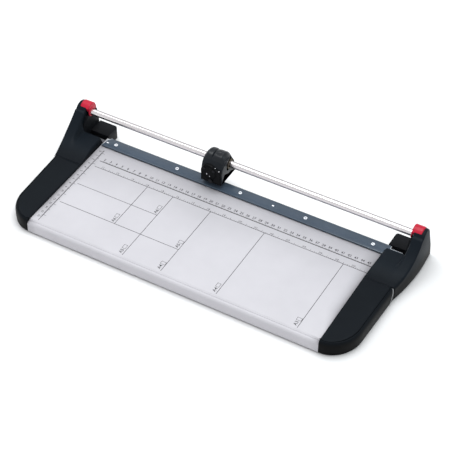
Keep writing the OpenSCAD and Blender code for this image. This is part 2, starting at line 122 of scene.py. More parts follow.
world = bpy.data.worlds.new("studio")
world.use_nodes = True
world.node_tree.nodes["Background"].inputs[0].default_value = (0.97, 0.98, 1.0, 1)
world.node_tree.nodes["Background"].inputs[1].default_value = 0.78
bpy.context.scene.world = world
bpy.context.scene.view_settings.view_transform = "Standard"


# ------------------------------------------------------------ materials
def material(name, base, roughness, metallic=0.0, **extra):
    """New material with the constants on the Principled shader's own sockets."""
    m = bpy.data.materials.new(name)
    m.use_nodes = True
    shader = m.node_tree.nodes["Principled BSDF"]
    shader.inputs["Base Color"].default_value = (*base, 1)
    shader.inputs["Roughness"].default_value = roughness
    shader.inputs["Metallic"].default_value = metallic
    for key, value in extra.items():
        shader.inputs[key.replace("_", " ")].default_value = value
    return m


def add(m, kind, **settings):
    """New node in a material, with its attributes set."""
    node = m.node_tree.nodes.new(kind)
    for key, value in settings.items():
        setattr(node, key, value)
    return node


def link(m, out, into):
    m.node_tree.links.new(out, into)


def noise(m, scale, detail=3.0, stretch=(1, 1, 1)):
    """Noise on Object coordinates, stretched per axis; returns its Fac socket."""
    place = add(m, "ShaderNodeTexCoord")
    mapping = add(m, "ShaderNodeMapping")
    mapping.inputs["Scale"].default_value = stretch
    texture = add(m, "ShaderNodeTexNoise")
    texture.inputs["Scale"].default_value = scale
    texture.inputs["Detail"].default_value = detail
    link(m, place.outputs["Object"], mapping.inputs["Vector"])
    link(m, mapping.outputs["Vector"], texture.inputs["Vector"])
    return texture.outputs["Fac"]


def ramp(m, fac, low, high, from_value=0.3, to_value=0.7):
    """Colour ramp between two colours; returns its colour socket."""
    node = add(m, "ShaderNodeValToRGB")
    node.color_ramp.elements[0].position = from_value
    node.color_ramp.elements[1].position = to_value
    node.color_ramp.elements[0].color = (*low, 1)
    node.color_ramp.elements[1].color = (*high, 1)
    link(m, fac, node.inputs["Fac"])
    return node.outputs["Color"]


def span(m, fac, low, high):
    """Maps a 0 to 1 socket onto low to high; returns the result socket."""
    node = add(m, "ShaderNodeMapRange")
    node.inputs["To Min"].default_value = low
    node.inputs["To Max"].default_value = high
    link(m, fac, node.inputs["Value"])
    return node.outputs["Result"]


def bump(m, height, distance, strength=1.0):
    """Bump of a height socket into the shader's normal."""
    node = add(m, "ShaderNodeBump")
    node.inputs["Strength"].default_value = strength
    node.inputs["Distance"].default_value = distance
    link(m, height, node.inputs["Height"])
    link(m, node.outputs["Normal"], m.node_tree.nodes["Principled BSDF"].inputs["Normal"])


def shader_of(m):
    return m.node_tree.nodes["Principled BSDF"]


def moulded_plastic(name, dark, light, roughness, grain=9000, depth=0.00002, gloss=0.5):
    """Moulded plastic: fine spark-eroded grain in bump and roughness, faint cloudy colour."""
    m = material(name, dark, roughness, Specular_IOR_Level=gloss)
    shader = shader_of(m)
    link(m, ramp(m, noise(m, 25, 4), dark, light), shader.inputs["Base Color"])
    fine = noise(m, grain, 2)
    link(m, span(m, noise(m, 60, 5), roughness * 0.85, roughness * 1.15),
         shader.inputs["Roughness"])
    bump(m, fine, depth)
    return m


def turned_metal(name, dark, light, roughness, stretch, scale=400):
    """Metal with fine lines across one axis, in colour, roughness and bump."""
    m = material(name, dark, roughness, metallic=1.0)
    shader = shader_of(m)
    lines = noise(m, scale, 4, stretch)
    link(m, ramp(m, lines, dark, light), shader.inputs["Base Color"])
    link(m, span(m, lines, roughness * 0.8, roughness * 1.3), shader.inputs["Roughness"])
    bump(m, lines, 0.00001, 0.5)
    return m


def darken_below(m, low, high, colour):
    """Painted shade: fades the base colour to a darker one between two heights, so skirts below them
    look shaded and carry no sheen.
    """
    spot = add(m, "ShaderNodeSeparateXYZ")
    link(m, add(m, "ShaderNodeTexCoord").outputs["Object"], spot.inputs["Vector"])
    share = add(m, "ShaderNodeMapRange")
    share.inputs["From Min"].default_value = low
    share.inputs["From Max"].default_value = high
    link(m, spot.outputs["Z"], share.inputs["Value"])
    mix = add(m, "ShaderNodeMix", data_type="RGBA")
    base = shader_of(m).inputs["Base Color"]
    mix.inputs[6].default_value = (*colour, 1)
    link(m, base.links[0].from_socket, mix.inputs[7])
    link(m, share.outputs["Result"], mix.inputs[0])
    link(m, mix.outputs[2], base)


housing = moulded_plastic("housing_black", (0.0055, 0.0085, 0.0125), (0.0075, 0.0115, 0.016), 0.46,
                          gloss=0.07)
# painted shade: below 17 mm the housings take a near-black colour, fading back to their own above 28
# mm, so the skirts look shaded
darken_below(housing, 17 * MM, 28 * MM, (0.0015, 0.0016, 0.0018))
bracket = moulded_plastic("bracket_black", (0.004, 0.0045, 0.006), (0.006, 0.007, 0.009), 0.5,
                          gloss=0.1)
head_black = moulded_plastic("head_black", (0.005, 0.007, 0.010), (0.008, 0.011, 0.015), 0.34,
                             gloss=0.2)
grip_black = moulded_plastic("grip_black", (0.005, 0.007, 0.010), (0.008, 0.011, 0.015), 0.3,
                             grain=5000, gloss=0.3)
cover_black = moulded_plastic("cover_black", (0.0025, 0.003, 0.0035), (0.004, 0.0045, 0.005), 0.38,
                              gloss=0.08)
red_plastic = moulded_plastic("cap_red", (0.42, 0.006, 0.026), (0.50, 0.010, 0.036), 0.33,
                              gloss=0.25)
rubber = moulded_plastic("soft_rubber", (0.02, 0.02, 0.022), (0.03, 0.03, 0.033), 0.7, gloss=0.3)
sheet_paint = moulded_plastic("table_sheet", (0.535, 0.525, 0.555), (0.565, 0.555, 0.585), 0.42,
                              gloss=0.3)
# pale colour that paints the highlight along the seam's lip on the black covers
seam_glint_paint = moulded_plastic("seam_painted_glint", (0.55, 0.56, 0.58), (0.65, 0.66, 0.68), 0.3)
beam_grey = moulded_plastic("beam_steel", (0.08, 0.08, 0.09), (0.11, 0.11, 0.12), 0.45)
strip_clear = moulded_plastic("clear_slate", (0.052, 0.073, 0.10), (0.062, 0.086, 0.118), 0.16,
                              grain=60, depth=0.000004, gloss=0.4)
chrome = turned_metal("rail_chrome", (0.83, 0.79, 0.795), (0.88, 0.84, 0.845), 0.2, (0.05, 8, 8), 60)
shader_of(chrome).inputs["Specular Tint"].default_value = (0.02, 0.02, 0.02, 1)
bright = turned_metal("bright_steel", (0.72, 0.72, 0.74), (0.85, 0.85, 0.86), 0.2, (1, 1, 1))
collar_white = turned_metal("collar_white", (0.88, 0.91, 0.96), (0.95, 0.97, 1.0), 0.4, (1, 1, 1))
# pale colour that paints the light leaving the clear strip's edges
lit_edge = moulded_plastic("lit_edge", (0.62, 0.66, 0.70), (0.72, 0.75, 0.78), 0.25)
pin_grey = turned_metal("pin_grey", (0.16, 0.18, 0.22), (0.22, 0.25, 0.3), 0.4, (1, 1, 1))
black_screw = turned_metal("black_screw", (0.02, 0.021, 0.024), (0.035, 0.036, 0.04), 0.4, (1, 1, 1))
ground = turned_metal("blade_steel", (0.62, 0.63, 0.65), (0.78, 0.79, 0.8), 0.22, (1, 30, 30))
# painted shade: the bushes' bronze is darkened far below its own tone, so they look shaded inside
# the pocket round the rail
bush_metal = turned_metal("bush_metal", (0.05, 0.04, 0.024), (0.09, 0.07, 0.045), 0.45, (1, 1, 1))
ink = material("print_ink", (0.015, 0.015, 0.018), 0.6)
link(ink, ramp(ink, noise(ink, 900, 3), (0.008, 0.008, 0.01), (0.03, 0.03, 0.033)),
     shader_of(ink).inputs["Base Color"])

FINISH = {
    "table_board": sheet_paint, "front_beam": beam_grey, "rear_beam": beam_grey,
    "counter_blade": ground, "rotary_blade": ground, "clamp_strip": strip_clear,
    "rail_tube": chrome, "head_bushes": bush_metal,
    "head_body": head_black, "blade_cover": head_black, "head_grip": rubber,
    "blade_axle": black_screw, "blade_cover_screws": black_screw, "clamp_guide_pins": pin_grey,
}
for name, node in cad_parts.items():
    finish = FINISH.get(name)
    if finish is None:
        finish = (housing if name.endswith("_cover") else
                  red_plastic if name.endswith("rail_cap") else
                  bracket if name.endswith(("bracket", "plate")) else
                  rubber if name.endswith(("feet", "roller")) else bright)
    node.data.materials.clear()
    node.data.materials.append(finish)


# ------------------------------------------------------------ mesh helpers
def grid_faces(rows, columns, wrap=False, flip=False):
    """Quads of a rows by columns grid of points, as an array of corner numbers; wrap joins
    the last column to the first."""
    i, j = np.meshgrid(np.arange(rows - 1), np.arange(columns if wrap else columns - 1),
                       indexing="ij")
    k = (j + 1) % columns
    quads = np.stack([i * columns + j, i * columns + k,
                      (i + 1) * columns + k, (i + 1) * columns + j], -1).reshape(-1, 4)
    return quads[:, ::-1] if flip else quads


def sheet_part(points, wrap=False, flip=False):
    """One part (points, faces) from an array of rows by columns by 3."""
    rows, columns = points.shape[:2]
    return points.reshape(-1, 3), grid_faces(rows, columns, wrap, flip).tolist()


def closed_loft(sections, flip=False):
    """Closed part from an array of sections by points by 3: the loops are joined, and each
    end is one flat face."""
    count, ring = sections.shape[:2]
    faces = grid_faces(count, ring, wrap=True, flip=flip).tolist()
    first = list(range(ring))
    last = list(range((count - 1) * ring, count * ring))
    faces += [first if flip else first[::-1], last[::-1] if flip else last]
    return sections.reshape(-1, 3), faces


def joined_mesh(name, parts):
    """Mesh of several parts, given in millimetres, as one list of points and one of faces."""
    points, faces, start = [], [], 0
    for part_points, part_faces in parts:
        points.append(part_points)
        faces += [[corner + start for corner in face] for face in part_faces]
        start += len(part_points)
    mesh = bpy.data.meshes.new(name)
    mesh.from_pydata((np.concatenate(points) * MM).tolist(), [], faces)
    return mesh


def make_piece(name, parts, finish, body, replaces=(), sharp=40,
               wall=0.0, merge=1e-4):
    """Joins parts, given in millimetres, into one smooth piece that rides on a body. wall
    is a Solidify thickness inwards."""
    mesh = joined_mesh(name, parts)
    work = bmesh.new()
    work.from_mesh(mesh)
    bmesh.ops.remove_doubles(work, verts=work.verts, dist=merge * MM)
    bmesh.ops.dissolve_degenerate(work, dist=merge * MM, edges=work.edges)
    work.to_mesh(mesh)
    work.free()
    mesh.shade_smooth()
    mesh.set_sharp_from_angle(angle=math.radians(sharp))
    mesh.materials.append(finish)
    piece = bpy.data.objects.new(name, mesh)
    bpy.context.scene.collection.objects.link(piece)
    if wall:
        solid = piece.modifiers.new("wall", "SOLIDIFY")
        solid.thickness = wall * MM
        solid.offset = -1
    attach(piece, body)
    if replaces:
        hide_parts(*replaces)
    return piece


def soften(node, width, segments=3, angle=35):
    """Rounds the edges of a CAD node with Weld and Bevel modifiers, width in millimetres."""
    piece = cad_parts[node]
    weld = piece.modifiers.new("weld", "WELD")
    weld.merge_threshold = 0.01 * MM
    bevel = piece.modifiers.new("bevel", "BEVEL")
    bevel.width = width * MM
    bevel.segments = segments
    bevel.limit_method = "ANGLE"
    bevel.angle_limit = math.radians(angle)
    bevel.harden_normals = True
    piece.data.shade_smooth()
    return piece


def smooth_step(x):
    """0 below 0, 1 above 1, with a smooth cubic between."""
    x = np.clip(x, 0, 1)
    return x * x * (3 - 2 * x)


def resample(path, count):
    """count points evenly spaced along a polyline of (n, 2) or (n, 3)."""
    path = np.asarray(path, float)
    run = np.concatenate([[0], np.cumsum(np.linalg.norm(np.diff(path, axis=0), axis=1))])
    at = np.linspace(0, run[-1], count)
    return np.stack([np.interp(at, run, path[:, k]) for k in range(path.shape[1])], -1)


def arc(centre, radius, start, end, count):
    """Points of an arc in a plane, angles in degrees."""
    a = np.radians(np.linspace(start, end, count))
    return np.stack([centre[0] + radius * np.cos(a), centre[1] + radius * np.sin(a)], -1)


def bezier(a, b, c, d, count):
    """Points of a cubic curve with end points a, d and handles b, c."""
    t = np.linspace(0, 1, count)[:, None]
    u = 1 - t
    return (u ** 3 * np.array(a) + 3 * u * u * t * np.array(b)
            + 3 * u * t * t * np.array(c) + t ** 3 * np.array(d))


# ------------------------------------------------------------ housings
SEAM_Y = CUT_Y - 73                   # seam between front and rear cover
SEAM_W = 45.5                         # width there, from the table's end
FRONT_W = 42.5                        # width at the front corner
WIDEST = 54                           # width of the rear flank at its widest place
REAR_W = 52                           # width at the rear
FRONT_Y = TABLE_LO[1]
CORNER_LEN = 48                       # depth of the rounded front corner
CORNER_Y = FRONT_Y + CORNER_LEN
COVER_Z = TOP + 4                     # top of the front cover
DECK_Z = TOP + 8.6                    # top of the deck
DECK_END = CUT_Y - 12.4               # the deck's rear edge, in front of the recess
REAR_Y = corners("right_rear_cover")[1][1]
SKIRT_Z = 0.9                         # gap between the skirts and the desk
PEAK_Y = CUT_Y - 19                   # where the rear flank is widest
RECESS_Z = TOP - 14                   # floor of the recess behind the deck
POST_IN = CAP_LO[0] - HALF            # inner side of the post, outward from the table's end
CAP_OUT = CAP_HI[0] - HALF            # outer end of the red cap
TOWER_Z = RAIL_Z + 12.5               # top of the tower


def flank_width(y):
    """Width of the rear flank at depth y: the parabola through the widths at the seam, the
    widest place and the rear."""
    a, b, c = SEAM_Y, PEAK_Y, REAR_Y
    return (SEAM_W * (y - b) * (y - c) / ((a - b) * (a - c))
            + WIDEST * (y - a) * (y - c) / ((b - a) * (b - c))
            + REAR_W * (y - a) * (y - b) / ((c - a) * (c - b)))


def outward(points, side):
    """Turns (w, y, z), with w outward from the table's end, into x, y, z on the right (1)
    or left (-1) end."""
    placed = points.copy()
    placed[..., 0] = side * (HALF + points[..., 0])
    return placed


def front_cover(side, name):
    """Front cover as sections swung round the corner. A section runs from the table's end
    to the outline: inner wall, flat top, fine groove, then a convex skirt down to the desk.
    Along the sweep the inner point moves down the table's end while the outer point follows
    the outline."""
    rows = 24
    straight = np.stack([np.linspace(SEAM_W, FRONT_W, rows),
                         np.linspace(SEAM_Y, CORNER_Y, rows)], -1)
    a = np.radians(np.linspace(0, -90, 41))
    skirt_w, depth = 6.0, CORNER_LEN - 0.2
    corner = np.stack([FRONT_W * np.cos(a), CORNER_Y + depth * np.sin(a)], -1)
    outer = np.concatenate([straight, corner[1:]])
    inner_y = np.where(outer[:, 1] >= CORNER_Y, outer[:, 1],
                       CORNER_Y + (depth - skirt_w)
                       * np.sin(np.concatenate([np.zeros(rows), a[1:]])))
    inner = np.stack([np.zeros(len(outer)), inner_y], -1)
    run = np.linalg.norm(outer - inner, axis=1)[:, None]
    # distance in from the outline, and height, of the skirt and groove
    edge = np.array([[1.5, SKIRT_Z], [0.7, SKIRT_Z + 0.3], [0.35, 3], [0.05, 7], [0, 11],
                     [0, 14.5], [0.25, 18], [0.9, 20.4], [1.9, 22.0], [3.0, 22.9], [3.9, 23.2],
                     [4.3, 23.2], [4.5, 22.3], [5.0, 22.3], [5.15, 23.3], [5.45, 23.85],
                     [5.9, COVER_Z]])
    top_share = np.linspace(0, 1, 12)[1:]
    far = run - 0.8
    top = edge[-1, 0] + (np.maximum(far, edge[-1, 0]) - edge[-1, 0]) * top_share[None, :]
    crown = np.full_like(top, COVER_Z)
    inner_d = np.concatenate([run - 0.25, run, run, run], 1)
    inner_z = np.broadcast_to(np.array([COVER_Z - 0.25, COVER_Z - 0.8, TOP + 2, TOP + 0.3]),
                              (len(run), 4))
    d = np.concatenate([np.broadcast_to(edge[:, 0], (len(run), len(edge))), top, inner_d], 1)
    d = np.minimum(d, run)
    z = np.concatenate([np.broadcast_to(edge[:, 1], (len(run), len(edge))), crown, inner_z], 1)
    share = d / run
    plan = outer[:, None, :] * (1 - share[..., None]) + inner[:, None, :] * share[..., None]
    points = outward(np.concatenate([plan, z[..., None]], -1), side)
    return make_piece(name, [sheet_part(points, flip=side < 0)], housing, "base",
                      [name.replace("_shell", "")], sharp=32, wall=1.5)


def tower_curve():
    """Side outline of the flank from the seam over the tower to the desk, as (y, z): a
    hollow sweep, a round top and a slanted back."""
    top_r = 13
    sweep = bezier((SEAM_Y, COVER_Z), (SEAM_Y + 28, COVER_Z), (CUT_Y - 18, RAIL_Z - 10),
                   (CUT_Y - 5, RAIL_Z + 5), 60)
    over = arc((CUT_Y + 10, TOWER_Z - top_r), top_r, 150, 5, 26)
    back = bezier((CUT_Y + 23.2, TOWER_Z - 14), (CUT_Y + 26, TOP + 18), (CUT_Y + 30, TOP + 8),
                  (REAR_Y, SKIRT_Z), 18)
    return np.concatenate([sweep, over, back])


TOWER = tower_curve()
TOWER_RISE = TOWER[:80]               # the part that faces the front
CAP_FRONT = CUT_Y + 2.5               # where the tower's front ends under the red cap


def sweep_height(y):
    """Height of the hollow sweep at depth y."""
    return np.interp(y, TOWER_RISE[:, 0], TOWER_RISE[:, 1])


def deck_height(y):
    """Height of the deck: the sweep, held below the deck's own height by a smooth minimum
    of width `ease`."""
    ease = 1.6
    rise = sweep_height(y)
    return rise - ease * np.log1p(np.exp((rise - DECK_Z) / ease))


POST_EDGE = 36.6                      # inner edge of the tower's front face
WALL_LEAN = 4.5                       # how far the deck's inner wall leans outwards at its end
LEAN_WIDE = 10                        # width over which the lean fades


def edge_roll(y):
    """Radius of the rolled outer edge: widest at the seam, shrinking by a smooth step towards
    the tower."""
    tower_roll, more_at_seam, fade = 1.1, 2.2, 60
    return tower_roll + more_at_seam * (1 - smooth_step((y - SEAM_Y) / fade))


def rear_cover(side, name):
    """Rear cover in columns across its width. A column follows the deck to its end and
    drops, or follows the sweep up to the cap and drops, or goes right over the tower and
    down its back. Across the width the height passes from the deck to the sweep by a smooth
    step, and the outer columns roll over the edge and down the flank."""
    widths = np.concatenate([[0, 0, 0.5], np.linspace(1.2, 22, 8), np.linspace(23, 31.4, 12),
                             np.linspace(31.8, POST_EDGE, 14), [POST_EDGE + 0.05],
                             np.linspace(POST_EDGE + 0.5, 46.8, 16), [47.3, 47.36]])
    deck_rows, rise_rows = 40, 14
    y_deck = np.linspace(SEAM_Y, DECK_END, deck_rows)
    seam_blend, head_reach = 22.0, 31.4   # where the blend starts, at the seam and beside the head
    near_head = smooth_step((y_deck - SEAM_Y - 10) / 40)
    blend_from = seam_blend + (head_reach - seam_blend) * near_head
    blend_wide = POST_EDGE + 1.4 - blend_from
    lean = WALL_LEAN * smooth_step((y_deck - SEAM_Y) / 55)
    over_rows = 48
    over_path = TOWER[TOWER[:, 0] > CAP_FRONT]
    over_path = resample(np.concatenate([[[CAP_FRONT, sweep_height(CAP_FRONT)]], over_path]),
                         over_rows)
    columns = []
    for k, w in enumerate(widths):
        lift = smooth_step((w - blend_from) / blend_wide)
        deck = deck_height(y_deck)
        height = deck + (sweep_height(y_deck) - deck) * lift
        if k == 0:
            height = np.full(deck_rows, TOP + 0.3)
        if k == 1:
            height = height - 0.5
        path = np.stack([y_deck, height], -1)
        last = path[-1]
        if w <= POST_EDGE:
            rise = np.stack([np.full(rise_rows, last[0]),
                             last[1] + (RECESS_Z - last[1]) * np.linspace(0.04, 1, rise_rows)], -1)
            rest = np.repeat(rise[-1:], over_rows - 1, 0)
        else:
            y = np.linspace(DECK_END, CAP_FRONT, rise_rows + 1)[1:]
            rise = np.stack([y, sweep_height(y) + (last[1] - sweep_height(DECK_END))
                             * (1 - smooth_step((y - DECK_END) / 6))], -1)
            if k < len(widths) - 1:
                foot = np.array([CAP_FRONT, RECESS_Z])
                share = np.linspace(0, 1, over_rows)[1:, None]
                rest = rise[-1] * (1 - share) + foot * share
            else:
                rest = over_path[1:]
        path = np.concatenate([path, rise, rest])
        room = flank_width(path[:, 0]) - edge_roll(path[:, 0])
        across = w * np.minimum(room / widths[-1], 1)
        if k > 0 and w < LEAN_WIDE:
            all_lean = np.concatenate([lean, np.full(len(path) - deck_rows, lean[-1])])
            across = across + all_lean * (1 - w / LEAN_WIDE)
        columns.append(np.c_[across, path])
    full = columns[-1][:, 1:].copy()  # the outermost path: sweep, tower and back
    full[:deck_rows, 1] = sweep_height(full[:deck_rows, 0])
    columns[-1][:, 1:] = full
    wide = flank_width(full[:, 0])
    tangent = np.gradient(full, axis=0)
    tangent /= np.linalg.norm(tangent, axis=1)[:, None] + 1e-9
    normal = np.stack([-tangent[:, 1], tangent[:, 0]], -1)
    most_draft = 2.2                      # how far the flank leans in at the tower's top
    draft = np.clip((full[:, 1] - COVER_Z) / 40, 0, 1) * most_draft
    top_w = wide - draft
    roll = edge_roll(full[:, 0])
    for turn in np.radians([0, 14, 30, 45, 60, 75, 90]):
        inset = (roll * (1 - math.cos(turn)))[:, None] + (0.25 if turn else 0)
        columns.append(np.c_[top_w - roll + roll * math.sin(turn), full - normal * inset])
    edge_spot = columns[-1]
    for share in (0.12, 0.3, 0.5, 0.7, 0.85, 0.95, 1.0):
        z = edge_spot[:, 2] + (SKIRT_Z - edge_spot[:, 2]) * share
        bulge = 0.8 * math.sin(math.pi * share) * np.clip((edge_spot[:, 2] - 20) / 20, 0, 1)
        w = top_w + (wide - top_w) * share + bulge
        w = w - (1.0 if share == 1.0 else 0.35 if share == 0.95 else 0)
        columns.append(np.c_[w, edge_spot[:, 1], z])
    points = outward(np.stack(columns), side)
    return make_piece(name, [sheet_part(points, flip=side > 0)], housing, "base",
                      [name.replace("_shell", "")], sharp=38, wall=1.4)


def seam_line(side, name):
    """Painted highlight on the seam's lip: a thin pale ribbon down the outer wall of the front
    cover, which slants forwards as it goes down."""
    rows, lean = 24, 12
    path = resample([[SEAM_W - 2.4, COVER_Z - 1.2], [SEAM_W - 1.2, 20.8], [SEAM_W - 0.1, 16.5],
                     [SEAM_W + 0.25, 11], [SEAM_W + 0.1, 6], [SEAM_W - 0.3, 1.6]], rows)
    slant = SEAM_Y - 0.6 - lean * np.linspace(0, 1, rows)
    ribbon = [np.c_[path[:, 0] + k, slant + d, path[:, 1] + 0.1 * k]
              for k, d in ((0, -0.3), (0.25, -0.22), (0.25, 0.22), (0, 0.3))]
    return make_piece(name, [sheet_part(outward(np.stack(ribbon), side), flip=side > 0)],
                      seam_glint_paint, "base", (), wall=0.2)


def rounded_bar(loop, starts, round_edge):
    """Closed sections of a (y, z) loop carried along x. Near both ends the loop shrinks
    towards its middle on a quarter circle, which rounds the end edges."""
    x0, x1 = starts
    turn = np.radians(np.linspace(0, 90, 7))
    near = round_edge * (1 - np.cos(turn))
    inset = round_edge * (1 - np.sin(turn))
    xs = np.concatenate([x0 + near, [0.5 * (x0 + x1)], (x1 - near)[::-1]])
    insets = np.concatenate([inset, [0], inset[::-1]])
    tangent = np.roll(loop, -1, 0) - np.roll(loop, 1, 0)
    tangent /= np.linalg.norm(tangent, axis=1)[:, None]
    inward = np.stack([-tangent[:, 1], tangent[:, 0]], -1)
    middle = loop.mean(0)
    inward *= np.sign(((middle - loop) * inward).sum(1))[:, None]
    sections = loop[None] + inward[None] * insets[:, None, None]
    return np.concatenate([np.broadcast_to(xs[:, None, None], (*sections.shape[:2], 1)),
                           sections], 2)


def ring_part(centre, axis, profile, around=48, flip=False):
    """Surface of revolution: a closed (radius, height) profile turned about an axis through
    centre."""
    a = np.linspace(0, 2 * np.pi, around, endpoint=False)
    profile = np.asarray(profile, float)
    r, h = profile[:, 0], profile[:, 1]
    flat = [np.outer(np.cos(a), r), np.outer(np.sin(a), r), np.broadcast_to(h, (around, len(h)))]
    order = {"z": (0, 1, 2), "y": (0, 2, 1), "x": (2, 0, 1)}[axis]
    points = np.stack([flat[k] for k in order], -1) + np.asarray(centre, float)
    count = len(profile)
    i, j = np.meshgrid(np.arange(around), np.arange(count), indexing="ij")
    k, m = (i + 1) % around, (j + 1) % count
    quads = np.stack([i * count + j, k * count + j, k * count + m, i * count + m], -1)
    quads = quads.reshape(-1, 4)
    return points.reshape(-1, 3), (quads[:, ::-1] if flip else quads).tolist()


CAP_PROUD = 1.8                       # how far the cap swells above the tower


def rail_cap(side, name):
    """Red cap: the tower's own arch, swollen by half a sine wave, closed below and carried
    across the tower with rounded ends; a turned collar goes round the rail on its inner
    face."""
    rows, low = 40, CAP_LO[2] + 0.3
    over = TOWER[(TOWER[:, 0] > CAP_FRONT - 0.5) & (TOWER[:, 0] < CAP_HI[1])
                 & (TOWER[:, 1] > CAP_LO[2])]
    over = resample(over, rows)
    over[:, 1] += CAP_PROUD * np.sin(np.pi * np.linspace(0, 1, rows))
    front_z = sweep_height(CAP_FRONT) - 1.2
    loop = np.concatenate([[[CAP_FRONT - 1.2, front_z]], over,
                           [[CAP_HI[1] - 0.1, low], [RAIL_Y - 3, low]]])
    loop = resample(np.concatenate([loop, loop[:1]]), 97)[:-1]
    ends = sorted((side * (HALF + POST_IN + 0.7), side * (HALF + CAP_OUT)))
    body = closed_loft(rounded_bar(loop, ends, 1.5))
    inner = side * (HALF + POST_IN + 1.0)
    collar = ring_part((inner, RAIL_Y, RAIL_Z), "x",
                       [(5.1, 0), (7.4, 0), (7.4, -side * 0.8), (6.9, -side * 1.3),
                        (5.6, -side * 1.3), (5.1, -side * 0.9)], flip=side > 0)
    return make_piece(name, [body, collar], red_plastic, "base", [name.replace("_shell", "")],
                      sharp=35)


def table_sheet(name):
    """Table sheet: a (y, z) section carried along the table. From the back it runs flat to
    a fine groove, then steps down over two rounds to the front lip and down to its foot.
    """
    front = TABLE_LO[1]
    section = np.concatenate([
        [[TABLE_HI[1], TOP], [front + 60, TOP], [front + 8.4, TOP], [front + 8.1, TOP - 0.1],
         [front + 7.8, TOP - 0.45], [front + 7.2, TOP - 0.5], [front + 6.9, TOP - 0.2]],
        arc((front + 6.4, TOP - 1.1), 1.1, 80, 165, 7),
        arc((front + 4.6, TOP - 5.4), 4.6, 80, 180, 14),
        [[front, 9], [front, 4], [front + 0.15, 2.6], [front + 0.6, 1.6]]])
    stations = 24
    xs = np.linspace(TABLE_LO[0], TABLE_HI[0], stations)[:, None, None]
    points = np.concatenate([np.broadcast_to(xs, (stations, len(section), 1)),
                             np.broadcast_to(section, (stations, *section.shape))], 2)
    return make_piece(name, [sheet_part(points)], sheet_paint, "base",
                      ["table_board"], sharp=50, wall=1.6)


# ------------------------------------------------------------ cutting head
HEAD_X = (HEAD_LO[0] + HEAD_HI[0]) / 2
HEAD_HALF = (HEAD_HI[0] - HEAD_LO[0]) / 2
CROWN_Y = CUT_Y + 3                   # axis of the round crown
CROWN_R = 17.5
CROWN_Z = HEAD_HI[2] - CROWN_R - 1.6
FACE_Y = HEAD_LO[1]
BACK_Y = HEAD_HI[1]
BUSH_LO, BUSH_HI = corners("head_bushes")
BUSH_R = (BUSH_HI[2] - BUSH_LO[2]) / 2
DISC_LO, DISC_HI = corners("rotary_blade")
ROLLER_LO, ROLLER_HI = corners("left_press_roller")


def shoulder_drop(x, z):
    """How far the crown sinks towards the ends of the head: smooth steps in x, more on the
    right, growing with height above the rail."""
    across = 5.0 * smooth_step((x - 9) / 7) + 1.8 * smooth_step((-x - 11) / 6)
    return across * np.clip((z - RAIL_Z) / 14, 0, 1)


def cut_out(piece, cutters):
    """Cuts closed parts, given in millimetres, out of a piece for good."""
    mesh = joined_mesh("cutter", cutters)
    work = bmesh.new()
    work.from_mesh(mesh)
    bmesh.ops.recalc_face_normals(work, faces=work.faces)
    work.to_mesh(mesh)
    work.free()
    cutter = bpy.data.objects.new("cutter", mesh)
    bpy.context.scene.collection.objects.link(cutter)
    cut = piece.modifiers.new("cut", "BOOLEAN")
    cut.operation = "DIFFERENCE"
    cut.solver = "EXACT"
    cut.use_self = True
    cut.object = cutter
    shape = piece.evaluated_get(bpy.context.evaluated_depsgraph_get())
    result = bpy.data.meshes.new_from_object(shape)
    piece.modifiers.remove(cut)
    result.name = piece.data.name
    piece.data = result
    bpy.data.objects.remove(cutter)
    bpy.data.meshes.remove(mesh)
    result.shade_smooth()
    result.set_sharp_from_angle(angle=math.radians(38))


